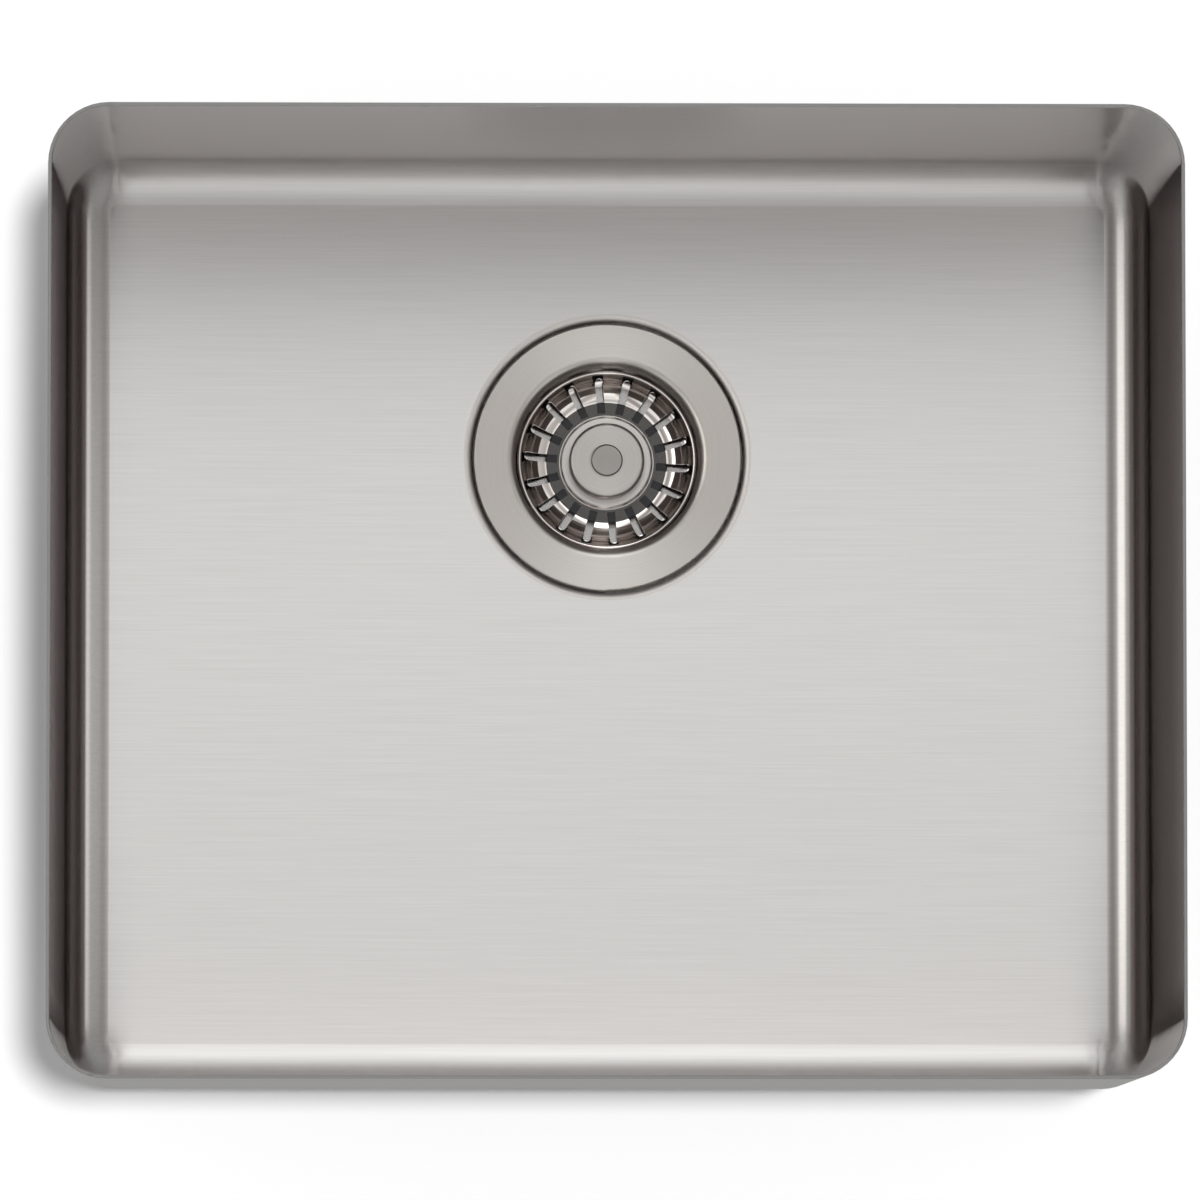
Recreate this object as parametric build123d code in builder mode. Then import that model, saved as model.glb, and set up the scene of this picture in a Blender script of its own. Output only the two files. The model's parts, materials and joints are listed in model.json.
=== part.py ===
"""Undermount kitchen sink: one pressed steel bowl with a basket strainer waste, in millimetres.

The origin is the centre of the bowl's opening, in the plane of its rim, where the worktop's underside
lies. +Z is up, +X runs along the bowl's long side and +Y runs from the user towards the wall.
"""

from math import atan, cos, degrees, radians, sin
import os

from build123d import *

os.makedirs("parts", exist_ok=True)

# ---------------------------------------------------------------- bowl
bowl_length = 466.0  # outside, along X, at the rim
bowl_width = 400.0  # outside, along Y, at the rim
bowl_depth = 200.0  # rim plane to the upper side of the floor
bowl_sheet = 1.5  # stainless sheet
bowl_corner_radius = 25.0  # upright corners, outside, at the rim
bowl_draft = 2.5  # how far each wall leans in over the bowl's depth
bowl_floor_radius = 18.0  # wall to floor, inside
rim_edge_radius = 0.3  # linished edges of the rim

# ---------------------------------------------------------------- waste hole and the recess round it
waste_x = 0.0
waste_y = 71.0  # the waste lies behind the middle of the floor
waste_hole_radius = 45.0  # the standard 90 mm hole
recess_radius = 57.6  # bottom of the recess that the waste's flange drops into
recess_depth = 3.0
recess_slope = 1.0  # how far the recess's side leans out
recess_lip_radius = 2.5  # floor rolling down into the recess, upper side
recess_foot_radius = 1.0  # recess's side to its bottom, upper side
recess_land = 8.0  # ring of flat floor that is formed together with the recess

# ---------------------------------------------------------------- sound-deadening pads
pad_thickness = 2.5
pad_corner_radius = 12.0
floor_pad_length = 380.0
floor_pad_width = 300.0
floor_pad_gap = 4.0  # round the underside of the recess
wall_pad_length = 240.0  # pads on the left and right walls
wall_pad_height = 96.0
wall_pad_drop = 78.0  # rim to the upper edge of the wall pads, so low that the rim hides them from above

# ---------------------------------------------------------------- strainer dish
dish_sheet = 1.0
dish_flange_radius = 57.0
dish_edge_turn = 1.6  # the flange's edge is turned down by this much
dish_edge_radius = 0.9
dish_roll_radius = 3.6  # flange rolling down into the throat
dish_throat_radius = 39.2  # inside, at the top of the throat
dish_draft = 0.6  # how far the throat narrows over its depth
dish_depth = 38.0  # flange's upper side to the seat
dish_foot_radius = 5.0  # throat to seat, inside
window_count = 6  # the openings that the water leaves by
window_inner_radius = 9.5
window_outer_radius = 19.0
spoke_width = 4.0

# ---------------------------------------------------------------- gaskets
flange_gasket_thickness = 1.5
flange_gasket_radius = 55.0
body_gasket_thickness = 3.0
body_gasket_radius = 52.0
gasket_bore_gap = 0.8  # gasket bores round the throat of the dish

# ---------------------------------------------------------------- waste body
body_wall = 3.0
body_throat_gap = 1.4  # round the throat of the dish
body_flange_radius = 54.0
body_flange_thickness = 4.0
body_straight = 34.0  # flange's upper side to the head of the funnel
body_funnel = 12.0  # height of the funnel
tail_radius = 23.9  # outside of the outlet's 1 1/2 inch pipe thread
tail_bore_radius = 20.4
tail_length = 30.0
gusset_count = 12
gusset_thickness = 2.0
gusset_height = 12.0
gusset_margin = 4.0  # gusset's toe to the flange's edge
gusset_root = 2.0  # how far the gussets reach up into the flange
boss_radius = 8.0
boss_length = 17.0
boss_gap = 3.0  # under the dish, so that the gaskets take the clamping force
spider_count = 3
spider_thickness = 2.4
spider_height = 12.0
spider_root_radius = 7.0  # the ribs start inside the boss's wall

# ---------------------------------------------------------------- clamping screw
screw_radius = 3.0  # M6
thread_gap = 0.04  # between a screw and the thread that it turns in
screw_hole_gap = 0.3
screw_tip = 1.0  # below the insert
post_radius = 4.5  # the screw's tall round head, which guides the basket
post_length = 10.0
post_edge = 0.8
hex_width = 5.0  # across the flats of the key's socket
hex_depth = 5.0
washer_radius = 8.0
washer_thickness = 1.0
insert_radius = 5.0
insert_length = 12.0
insert_collar_radius = 6.2
insert_collar_thickness = 1.2
moulded_gap = 0.02  # between the insert and the plastic round it

# ---------------------------------------------------------------- basket
basket_sheet = 0.8
basket_rim_gap = 0.8  # between the rolled rim and the throat of the dish
basket_bead_radius = 1.0  # the rolled rim
basket_drop = 13.5  # flange's upper side to the top of the basket
basket_height = 15.0  # top of the basket to the upper side of its floor
basket_lean = 3.8  # how far the wall leans in over the basket's height
basket_bend_radius = 9.0  # wall to floor, inside
slot_count = 18
slot_width = 3.4
slot_inner_radius = 21.2
slot_outer_radius = 35.4
slot_start_angle = 95.5  # first slot, from +X

# ---------------------------------------------------------------- seal under the basket
seal_radius = 26.0
seal_web = 3.0
seal_lip_width = 3.5
seal_lip_radius = 0.8
seat_gap = 0.3  # between the soft lip and the steel seat
seal_plate_radius = 18.0
seal_plate_thickness = 1.0

# ---------------------------------------------------------------- knob
knob_base_radius = 19.7
knob_base_height = 3.0
knob_base_sheet = 0.8
knob_base_edge_radius = 1.2
knob_radius = 16.0
knob_height = 11.0
knob_edge_radius = 1.6
knob_top_thickness = 5.3
button_radius = 6.6
button_gap = 0.45  # round the button, in the knob
button_shift = 0.25  # the hole in the knob lies this much to the left and to the front of the button
button_recess = 1.6
button_height = 2.0
button_edge_radius = 0.6
knob_screw_radius = 2.5  # M5
knob_screw_length = 9.0

# ---------------------------------------------------------------- socket and grip under the knob
socket_radius = 8.0
socket_bore_radius = 6.3
socket_flange_radius = 11.0
socket_flange_thickness = 2.0
socket_hole_gap = 0.2  # round the socket, in what it passes through
post_head_gap = 1.0  # above the post, in the socket
running_gap = 0.05  # radial, where one piece turns or slides on another
bush_end_gap = 0.2
bush_slit_count = 3
bush_slit_width = 0.8
bush_slit_length = 5.0
ring_wire_radius = 0.45
ring_opening = 30.0  # degrees
clip_thickness = 0.8
clip_shoulder = 0.8  # socket's lower end to the clip
clip_groove_depth = 0.6
clip_reach = 0.9  # how far the clip reaches in under the bush
clip_opening = 40.0  # degrees

# ---------------------------------------------------------------- levels, from the rim's plane downwards
floor_top = -bowl_depth
floor_under = floor_top - bowl_sheet
recess_top = floor_top - recess_depth
recess_under = recess_top - bowl_sheet
dish_top = recess_top + flange_gasket_thickness + dish_sheet
seat_top = dish_top - dish_depth
seat_under = seat_top - dish_sheet
body_top = recess_under - body_gasket_thickness
funnel_top = body_top - body_straight
funnel_foot = funnel_top - body_funnel
tail_foot = funnel_foot - tail_length
boss_top = seat_under - boss_gap
post_foot = seat_top + washer_thickness
post_top = post_foot + post_length
basket_top = dish_top - basket_drop
basket_floor = basket_top - basket_height
basket_under = basket_floor - basket_sheet
seal_under = basket_under - seal_web
plate_under = seal_under - seal_plate_thickness
socket_foot = plate_under - socket_flange_thickness
socket_bore_top = post_top + post_head_gap
knob_foot = basket_floor + knob_base_height
knob_top = knob_foot + knob_height
knob_pocket_top = knob_top - knob_top_thickness
socket_top = knob_pocket_top - socket_hole_gap
button_seat = knob_top - button_recess
clip_foot = socket_foot + clip_shoulder
clip_top = clip_foot + clip_thickness
bush_foot = clip_top + bush_end_gap
bush_top = socket_bore_top - bush_end_gap

# ---------------------------------------------------------------- shared radii and the waste's axis
draft_angle = degrees(atan(bowl_draft / bowl_depth))
recess_outline = recess_radius + recess_slope + recess_land
dish_outer_radius = dish_throat_radius + dish_sheet
flange_gasket_bore = dish_throat_radius + dish_roll_radius + gasket_bore_gap
body_gasket_bore = dish_outer_radius + gasket_bore_gap
body_bore_radius = dish_outer_radius + body_throat_gap
body_radius = body_bore_radius + body_wall
socket_hole_radius = socket_radius + socket_hole_gap
basket_rim_radius = dish_throat_radius - basket_rim_gap
basket_wall_radius = basket_rim_radius - 2 * basket_bead_radius
bush_radius = socket_bore_radius - running_gap
bush_bore_radius = post_radius + running_gap
ring_radius = bush_radius - running_gap - ring_wire_radius
ring_level = (bush_foot + bush_top) / 2
waste_axis = Axis((waste_x, waste_y, 0), (0, 0, 1))


def level(height):
    """The horizontal plane at this height, with its origin on the waste's axis."""
    return Plane((waste_x, waste_y, height))


def upright(angle=0.0):
    """The upright plane through the waste's axis: its X runs outwards at this angle, its Y is height."""
    outwards = (cos(radians(angle)), sin(radians(angle)), 0)
    across = (sin(radians(angle)), -cos(radians(angle)), 0)
    return Plane((waste_x, waste_y, 0), x_dir=outwards, z_dir=across)


def pressed_section(points, radii, thickness, side):
    """Draws a sheet's section in the current sketch: one face through the points, the other offset."""
    with BuildLine() as outline:
        FilletPolyline(*points, radius=radii)
        offset(amount=thickness, side=side)
    make_face(outline.edges())


# ================================================================ bowl
with BuildPart() as basin_space:
    with BuildSketch(Plane.XY):
        RectangleRounded(
            bowl_length - 2 * bowl_sheet,
            bowl_width - 2 * bowl_sheet,
            bowl_corner_radius - bowl_sheet,
        )
    extrude(amount=-bowl_depth, taper=draft_angle)
    fillet(basin_space.faces().sort_by(Axis.Z)[0].edges(), bowl_floor_radius)

with BuildPart() as bowl_shell:
    with BuildSketch(Plane.XY):
        RectangleRounded(bowl_length, bowl_width, bowl_corner_radius)
    extrude(amount=-(bowl_depth + bowl_sheet), taper=draft_angle)
    fillet(bowl_shell.faces().sort_by(Axis.Z)[0].edges(), bowl_floor_radius + bowl_sheet)
    add(basin_space.part, mode=Mode.SUBTRACT)
    fillet(bowl_shell.faces().sort_by(Axis.Z)[-1].edges(), rim_edge_radius)
    with BuildSketch(level(floor_under)):
        Circle(recess_outline)
    extrude(amount=bowl_sheet, mode=Mode.SUBTRACT)
    with BuildSketch(upright()):
        pressed_section(
            [
                (waste_hole_radius, recess_top),
                (recess_radius, recess_top),
                (recess_radius + recess_slope, floor_top),
                (recess_outline, floor_top),
            ],
            [recess_foot_radius, recess_lip_radius],
            bowl_sheet,
            Side.RIGHT,
        )
    revolve(axis=waste_axis)
bowl_shell.part.label = "bowl_shell"
export_step(bowl_shell.part, "parts/bowl_shell.step")

# ================================================================ sound-deadening pads
with BuildPart() as floor_pad:
    with BuildSketch(Plane.XY.offset(floor_under)):
        RectangleRounded(floor_pad_length, floor_pad_width, pad_corner_radius)
        with Locations((waste_x, waste_y)):
            Circle(recess_outline - recess_land + bowl_sheet + floor_pad_gap, mode=Mode.SUBTRACT)
    extrude(amount=-pad_thickness)
floor_pad.part.label = "floor_pad"
export_step(floor_pad.part, "parts/floor_pad.step")

# A skin of the pads' thickness round the drafted walls, from which each wall's pad is cut.
with BuildPart() as wall_skin:
    with BuildSketch(Plane.XY):
        RectangleRounded(
            bowl_length + 2 * pad_thickness,
            bowl_width + 2 * pad_thickness,
            bowl_corner_radius + pad_thickness,
        )
    extrude(amount=-bowl_depth, taper=draft_angle)
    with BuildSketch(Plane.XY):
        RectangleRounded(bowl_length, bowl_width, bowl_corner_radius)
    extrude(amount=-bowl_depth, taper=draft_angle, mode=Mode.SUBTRACT)

wall_pads = {"left_wall_pad": (-1, 0, 0), "right_wall_pad": (1, 0, 0)}
pad_middle = (0, 0, -wall_pad_drop - wall_pad_height / 2)
for pad_name, outwards in wall_pads.items():
    pad_x = Vector(outwards).cross(Vector(0, 0, 1))
    with BuildPart() as wall_pad:
        add(wall_skin.part)
        with BuildSketch(Plane(pad_middle, x_dir=pad_x, z_dir=outwards)):
            RectangleRounded(wall_pad_length, wall_pad_height, pad_corner_radius)
        extrude(amount=bowl_length, mode=Mode.INTERSECT)
    wall_pad.part.label = pad_name
    export_step(wall_pad.part, f"parts/{pad_name}.step")

# ================================================================ strainer dish
with BuildPart() as strainer_dish:
    with BuildSketch(upright()):
        pressed_section(
            [
                (dish_flange_radius, dish_top - dish_edge_turn),
                (dish_flange_radius, dish_top),
                (dish_throat_radius, dish_top),
                (dish_throat_radius - dish_draft, seat_top),
                (screw_radius + screw_hole_gap, seat_top),
            ],
            [dish_edge_radius, dish_roll_radius, dish_foot_radius],
            dish_sheet,
            Side.LEFT,
        )
    revolve(axis=waste_axis)
    with BuildSketch(level(seat_under)):
        Circle(window_outer_radius)
        Circle(window_inner_radius, mode=Mode.SUBTRACT)
        with PolarLocations(window_outer_radius / 2, window_count):
            Rectangle(window_outer_radius, spoke_width, mode=Mode.SUBTRACT)
    extrude(amount=dish_sheet, mode=Mode.SUBTRACT)
strainer_dish.part.label = "strainer_dish"
export_step(strainer_dish.part, "parts/strainer_dish.step")

# ================================================================ gaskets
with BuildPart() as flange_gasket:
    with BuildSketch(level(recess_top)):
        Circle(flange_gasket_radius)
        Circle(flange_gasket_bore, mode=Mode.SUBTRACT)
    extrude(amount=flange_gasket_thickness)
flange_gasket.part.label = "flange_gasket"
export_step(flange_gasket.part, "parts/flange_gasket.step")

with BuildPart() as body_gasket:
    with BuildSketch(level(body_top)):
        Circle(body_gasket_radius)
        Circle(body_gasket_bore, mode=Mode.SUBTRACT)
    extrude(amount=body_gasket_thickness)
body_gasket.part.label = "body_gasket"
export_step(body_gasket.part, "parts/body_gasket.step")

# ================================================================ waste body
with BuildPart() as waste_body:
    with BuildSketch(upright()):
        Polygon(
            (body_bore_radius, body_top),
            (body_bore_radius, funnel_top),
            (tail_bore_radius, funnel_foot),
            (tail_bore_radius, tail_foot),
            (tail_radius, tail_foot),
            (tail_radius, funnel_foot - body_wall),
            (body_radius, funnel_top - body_wall),
            (body_radius, body_top - body_flange_thickness),
            (body_flange_radius, body_top - body_flange_thickness),
            (body_flange_radius, body_top),
            align=None,
        )
    revolve(axis=waste_axis)
    wall_middle = (body_bore_radius + body_radius) / 2
    for count in range(gusset_count):
        with BuildSketch(upright(count * 360 / gusset_count)):
            Polygon(
                (wall_middle, body_top - body_flange_thickness + gusset_root),
                (body_flange_radius - gusset_margin, body_top - body_flange_thickness + gusset_root),
                (body_flange_radius - gusset_margin, body_top - body_flange_thickness),
                (wall_middle, body_top - body_flange_thickness - gusset_height),
                align=None,
            )
        extrude(amount=gusset_thickness / 2, both=True)
    with BuildSketch(level(boss_top)):
        Circle(boss_radius)
    extrude(amount=-boss_length)
    tail_middle = (tail_bore_radius + tail_radius) / 2
    spider_foot = boss_top - boss_length
    spider_top = spider_foot + spider_height
    funnel_run = (body_bore_radius - tail_bore_radius) / body_funnel
    for count in range(spider_count):
        with BuildSketch(upright(count * 360 / spider_count)):
            Polygon(
                (spider_root_radius, spider_foot),
                (tail_middle, spider_foot),
                (tail_middle, funnel_foot),
                (tail_middle + (spider_top - funnel_foot) * funnel_run, spider_top),
                (spider_root_radius, spider_top),
                align=None,
            )
        extrude(amount=spider_thickness / 2, both=True)
    with BuildSketch(level(boss_top)):
        Circle(screw_radius + screw_hole_gap)
    extrude(amount=-boss_length, mode=Mode.SUBTRACT)
    with BuildSketch(level(boss_top)):
        Circle(insert_radius + moulded_gap)
    extrude(amount=-insert_length, mode=Mode.SUBTRACT)
    with BuildSketch(level(boss_top)):
        Circle(insert_collar_radius + moulded_gap)
    extrude(amount=-insert_collar_thickness, mode=Mode.SUBTRACT)
waste_body.part.label = "waste_body"
export_step(waste_body.part, "parts/waste_body.step")

# ================================================================ clamping screw
with BuildPart() as screw_insert:
    with BuildSketch(level(boss_top)):
        Circle(insert_radius)
    extrude(amount=-insert_length)
    with BuildSketch(level(boss_top)):
        Circle(insert_collar_radius)
    extrude(amount=-insert_collar_thickness)
    with BuildSketch(level(boss_top)):
        Circle(screw_radius + thread_gap)
    extrude(amount=-insert_length, mode=Mode.SUBTRACT)
screw_insert.part.label = "screw_insert"
export_step(screw_insert.part, "parts/screw_insert.step")

with BuildPart() as screw_washer:
    with BuildSketch(level(seat_top)):
        Circle(washer_radius)
        Circle(screw_radius + screw_hole_gap, mode=Mode.SUBTRACT)
    extrude(amount=washer_thickness)
screw_washer.part.label = "screw_washer"
export_step(screw_washer.part, "parts/screw_washer.step")

with BuildPart() as clamp_screw:
    with BuildSketch(level(post_foot)):
        Circle(post_radius)
    extrude(amount=post_length)
    fillet(clamp_screw.edges().sort_by(Axis.Z)[-1], post_edge)
    with BuildSketch(level(post_foot)):
        Circle(screw_radius)
    extrude(amount=boss_top - insert_length - screw_tip - post_foot)
    with BuildSketch(level(post_top)):
        RegularPolygon(hex_width / 2, 6, major_radius=False)
    extrude(amount=-hex_depth, mode=Mode.SUBTRACT)
clamp_screw.part.label = "clamp_screw"
export_step(clamp_screw.part, "parts/clamp_screw.step")

# ================================================================ basket
with BuildPart() as basket_cup:
    with BuildSketch(upright()):
        pressed_section(
            [
                (basket_wall_radius, basket_top - basket_bead_radius),
                (basket_wall_radius - basket_lean, basket_floor),
                (socket_hole_radius, basket_floor),
            ],
            [basket_bend_radius],
            basket_sheet,
            Side.LEFT,
        )
        with Locations((basket_rim_radius - basket_bead_radius, basket_top - basket_bead_radius)):
            Circle(basket_bead_radius)
    revolve(axis=waste_axis)
    slot_end_radius = slot_outer_radius - slot_width / 2  # where the slots' round outer ends are centred
    slot_middle = (slot_inner_radius + slot_end_radius) / 2
    with BuildSketch(level(basket_under)):
        with PolarLocations(slot_middle, slot_count, start_angle=slot_start_angle):
            Rectangle(slot_end_radius - slot_inner_radius, slot_width)
        with PolarLocations(slot_end_radius, slot_count, start_angle=slot_start_angle):
            Circle(slot_width / 2)
    extrude(amount=basket_height, mode=Mode.SUBTRACT)
basket_cup.part.label = "basket_cup"
export_step(basket_cup.part, "parts/basket_cup.step")

# ================================================================ seal under the basket
with BuildPart() as basket_seal:
    with BuildSketch(upright()):
        Polygon(
            (socket_hole_radius, basket_under),
            (seal_radius, basket_under),
            (seal_radius, seat_top + seat_gap),
            (seal_radius - seal_lip_width, seat_top + seat_gap),
            (seal_radius - seal_lip_width, seal_under),
            (socket_hole_radius, seal_under),
            align=None,
        )
        fillet(vertices().group_by(Axis.Z)[0], seal_lip_radius)
    revolve(axis=waste_axis)
basket_seal.part.label = "basket_seal"
export_step(basket_seal.part, "parts/basket_seal.step")

with BuildPart() as seal_plate:
    with BuildSketch(level(plate_under)):
        Circle(seal_plate_radius)
        Circle(socket_hole_radius, mode=Mode.SUBTRACT)
    extrude(amount=seal_plate_thickness)
seal_plate.part.label = "seal_plate"
export_step(seal_plate.part, "parts/seal_plate.step")

# ================================================================ knob
with BuildPart() as knob_base:
    with BuildSketch(upright()):
        pressed_section(
            [
                (knob_base_radius, basket_floor),
                (knob_base_radius, knob_foot),
                (socket_hole_radius, knob_foot),
            ],
            [knob_base_edge_radius],
            knob_base_sheet,
            Side.LEFT,
        )
    revolve(axis=waste_axis)
knob_base.part.label = "knob_base"
export_step(knob_base.part, "parts/knob_base.step")

with BuildPart() as knob:
    with BuildSketch(level(knob_foot)):
        Circle(knob_radius)
    extrude(amount=knob_height)
    fillet(knob.edges().sort_by(Axis.Z)[-1], knob_edge_radius)
    with BuildSketch(level(knob_foot)):
        Circle(socket_hole_radius)
    extrude(amount=knob_height - knob_top_thickness, mode=Mode.SUBTRACT)
    with BuildSketch(level(knob_top)):
        with Locations((-button_shift, -button_shift)):
            Circle(button_radius + button_gap)
    extrude(amount=-button_recess, mode=Mode.SUBTRACT)
    with BuildSketch(level(button_seat)):
        Circle(knob_screw_radius + screw_hole_gap)
    extrude(amount=-knob_height, mode=Mode.SUBTRACT)
knob.part.label = "knob"
export_step(knob.part, "parts/knob.step")

with BuildPart() as knob_screw:
    with BuildSketch(level(button_seat)):
        Circle(button_radius)
    extrude(amount=button_height)
    fillet(knob_screw.edges().sort_by(Axis.Z)[-1], button_edge_radius)
    with BuildSketch(level(button_seat)):
        Circle(knob_screw_radius)
    extrude(amount=-knob_screw_length)
knob_screw.part.label = "knob_screw"
export_step(knob_screw.part, "parts/knob_screw.step")

# ================================================================ socket and grip under the knob
with BuildPart() as socket:
    with BuildSketch(level(socket_foot)):
        Circle(socket_flange_radius)
    extrude(amount=socket_flange_thickness)
    with BuildSketch(level(socket_foot)):
        Circle(socket_radius)
    extrude(amount=socket_top - socket_foot)
    with BuildSketch(level(socket_foot)):
        Circle(socket_bore_radius)
    extrude(amount=socket_bore_top - socket_foot, mode=Mode.SUBTRACT)
    with BuildSketch(level(clip_foot)):
        Circle(socket_bore_radius + clip_groove_depth)
    extrude(amount=clip_thickness, mode=Mode.SUBTRACT)
    with BuildSketch(level(socket_top)):
        Circle(knob_screw_radius + thread_gap)
    extrude(amount=socket_bore_top - socket_top, mode=Mode.SUBTRACT)
socket.part.label = "socket"
export_step(socket.part, "parts/socket.step")

with BuildPart() as grip_bush:
    with BuildSketch(level(bush_foot)):
        Circle(bush_radius)
        Circle(bush_bore_radius, mode=Mode.SUBTRACT)
    extrude(amount=bush_top - bush_foot)
    with BuildSketch(level(ring_level - ring_wire_radius - running_gap)):
        Circle(bush_radius)
        Circle(ring_radius - ring_wire_radius - running_gap, mode=Mode.SUBTRACT)
    extrude(amount=2 * (ring_wire_radius + running_gap), mode=Mode.SUBTRACT)
    with BuildSketch(level(bush_foot)):
        with PolarLocations(bush_radius, bush_slit_count):
            Rectangle(2 * (bush_radius - bush_bore_radius) + bush_slit_width, bush_slit_width)
    extrude(amount=bush_slit_length, mode=Mode.SUBTRACT)
grip_bush.part.label = "grip_bush"
export_step(grip_bush.part, "parts/grip_bush.step")

with BuildPart() as grip_ring:
    with BuildSketch(upright()):
        with Locations((ring_radius, ring_level)):
            Circle(ring_wire_radius)
    revolve(axis=waste_axis, revolution_arc=360 - ring_opening)
grip_ring.part.label = "grip_ring"
export_step(grip_ring.part, "parts/grip_ring.step")

with BuildPart() as bush_clip:
    with BuildSketch(upright()):
        Polygon(
            (socket_bore_radius - clip_reach, clip_foot),
            (socket_bore_radius + clip_groove_depth - running_gap, clip_foot),
            (socket_bore_radius + clip_groove_depth - running_gap, clip_top),
            (socket_bore_radius - clip_reach, clip_top),
            align=None,
        )
    revolve(axis=waste_axis, revolution_arc=360 - clip_opening)
bush_clip.part.label = "bush_clip"
export_step(bush_clip.part, "parts/bush_clip.step")
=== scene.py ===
"""Looks of the undermount kitchen sink: a pressed steel bowl with its basket strainer waste, in metres."""

import json
from math import cos, pi, radians, sin, tan

import bpy
from mathutils import Matrix, Vector


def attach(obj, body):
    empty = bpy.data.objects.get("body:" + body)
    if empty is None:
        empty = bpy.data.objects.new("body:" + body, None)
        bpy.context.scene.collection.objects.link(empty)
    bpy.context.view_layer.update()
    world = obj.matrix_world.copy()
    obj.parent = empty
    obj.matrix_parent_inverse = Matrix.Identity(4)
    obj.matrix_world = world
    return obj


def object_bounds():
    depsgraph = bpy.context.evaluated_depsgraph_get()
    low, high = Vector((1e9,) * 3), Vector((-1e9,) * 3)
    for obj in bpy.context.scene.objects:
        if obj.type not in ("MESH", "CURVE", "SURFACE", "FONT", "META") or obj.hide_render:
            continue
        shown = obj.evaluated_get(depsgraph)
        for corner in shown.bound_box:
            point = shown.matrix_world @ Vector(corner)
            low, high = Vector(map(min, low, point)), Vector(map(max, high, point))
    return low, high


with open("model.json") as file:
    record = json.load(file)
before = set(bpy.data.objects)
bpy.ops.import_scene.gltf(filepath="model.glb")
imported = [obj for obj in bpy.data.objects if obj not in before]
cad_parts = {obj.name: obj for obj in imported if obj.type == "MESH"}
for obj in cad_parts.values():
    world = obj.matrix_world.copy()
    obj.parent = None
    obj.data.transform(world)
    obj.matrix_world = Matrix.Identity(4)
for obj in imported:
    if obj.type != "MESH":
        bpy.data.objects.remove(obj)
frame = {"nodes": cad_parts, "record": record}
cad_low, cad_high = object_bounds()
bpy.ops.object.select_all(action="DESELECT")

MM = 0.001
WASTE_CENTRE = (0.0, 71 * MM, 0.0)  # the waste's axis, as in the CAD
BOWL_DEPTH = 200 * MM  # from the rim to the bowl's floor
GROUND_LEVEL = cad_low.z  # the foot of the outlet's tail
SAME_POINT = 0.001 * MM  # points of a mesh that are nearer than this are merged


def linear(code):
    """An sRGB hex colour as the linear RGBA that sockets take."""
    channels = [int(code[i : i + 2], 16) / 255 for i in (1, 3, 5)]
    return [c / 12.92 if c <= 0.04045 else ((c + 0.055) / 1.055) ** 2.4 for c in channels] + [1.0]


def grey(level):
    """A linear grey as RGBA."""
    return (level, level, level, 1.0)


WHITE = grey(1.0)


def add(tree, kind, inputs=None, stops=None, **settings):
    """Adds a node with its settings. Each input is a value or the output of another node. A Mix node takes
    plain numbers at 2 and 3 and gives them at 0, and takes colours at 6 and 7 and gives them at 2."""
    made = tree.nodes.new(kind)
    for name, value in settings.items():
        setattr(made, name, value)
    for key, value in (inputs or {}).items():
        if isinstance(value, bpy.types.NodeSocket):
            tree.links.new(value, made.inputs[key])
        else:
            made.inputs[key].default_value = value
    if stops:
        elements = made.color_ramp.elements
        while len(elements) < len(stops):
            elements.new(1.0)
        for element, (place, colour) in zip(elements, stops):
            element.position = place
            element.color = colour
    return made


def empty_material(name):
    """A new material with nothing in it, and its node tree."""
    material = bpy.data.materials.new(name)
    material.use_nodes = True
    material.node_tree.nodes.clear()
    return material, material.node_tree


# ---------------------------------------------------------------- camera
# Nearly straight above the bowl, leaning a little towards the user and to the left, through a long lens.
LENS = 389.0
SENSOR = 36.0
CAMERA_DISTANCE = 5.3
SIGHT_START, SIGHT_END = 0.1, 60.0
LEAN_TO_USER = radians(4.15)
LEAN_TO_LEFT = radians(1.08)
AIM = Vector((-7.0 * MM, -4.3 * MM, 0.0))  # where the middle of the frame meets the rim's plane

back = Vector((-tan(LEAN_TO_LEFT), -tan(LEAN_TO_USER), 1.0)).normalized()
across = Vector((0, 1, 0)).cross(back).normalized()
turn = Matrix((across, back.cross(across), back)).transposed()
camera_data = bpy.data.cameras.new("camera")
camera_data.lens = LENS
camera_data.sensor_width = SENSOR
camera_data.clip_start = SIGHT_START
camera_data.clip_end = SIGHT_END
camera = bpy.data.objects.new("camera", camera_data)
camera.location = AIM + back * CAMERA_DISTANCE
camera.rotation_mode = "QUATERNION"
camera.rotation_quaternion = turn.to_quaternion()
bpy.context.scene.collection.objects.link(camera)
bpy.context.scene.camera = camera
bpy.context.scene.view_settings.view_transform = "Standard"

# ---------------------------------------------------------------- sun
# A sun throws the shadow to the left. Only matt surfaces see it, because the metals mirror the room.
SUN_STRENGTH = 2.35
SUN_WIDTH = radians(3.4)
SUN_TO_RIGHT, SUN_TO_USER = radians(3.6), radians(0.5)  # from straight up
SUN_FROM = Vector((tan(SUN_TO_RIGHT), -tan(SUN_TO_USER), 1.0))

sun_data = bpy.data.lights.new("sun", "SUN")
sun_data.energy = SUN_STRENGTH
sun_data.angle = SUN_WIDTH
sun = bpy.data.objects.new("sun", sun_data)
sun.rotation_mode = "QUATERNION"
sun.rotation_quaternion = SUN_FROM.to_track_quat("Z", "Y")
sun.visible_glossy = False
bpy.context.scene.collection.objects.link(sun)


# ---------------------------------------------------------------- room
# The room that the steel reflects, by direction: a bright window behind the sink, a dim ceiling with a dark
# patch overhead, panels to the left and right that draw the stripes in the rounded sides, and pale walls in
# between.
def by_angle(tint, *pairs):
    """Ramp stops of one tint from (degrees from straight up, level), from -90 to 90."""
    return [(angle / 180 + 0.5, tuple(level * part for part in tint) + (1.0,)) for angle, level in pairs]


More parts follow.
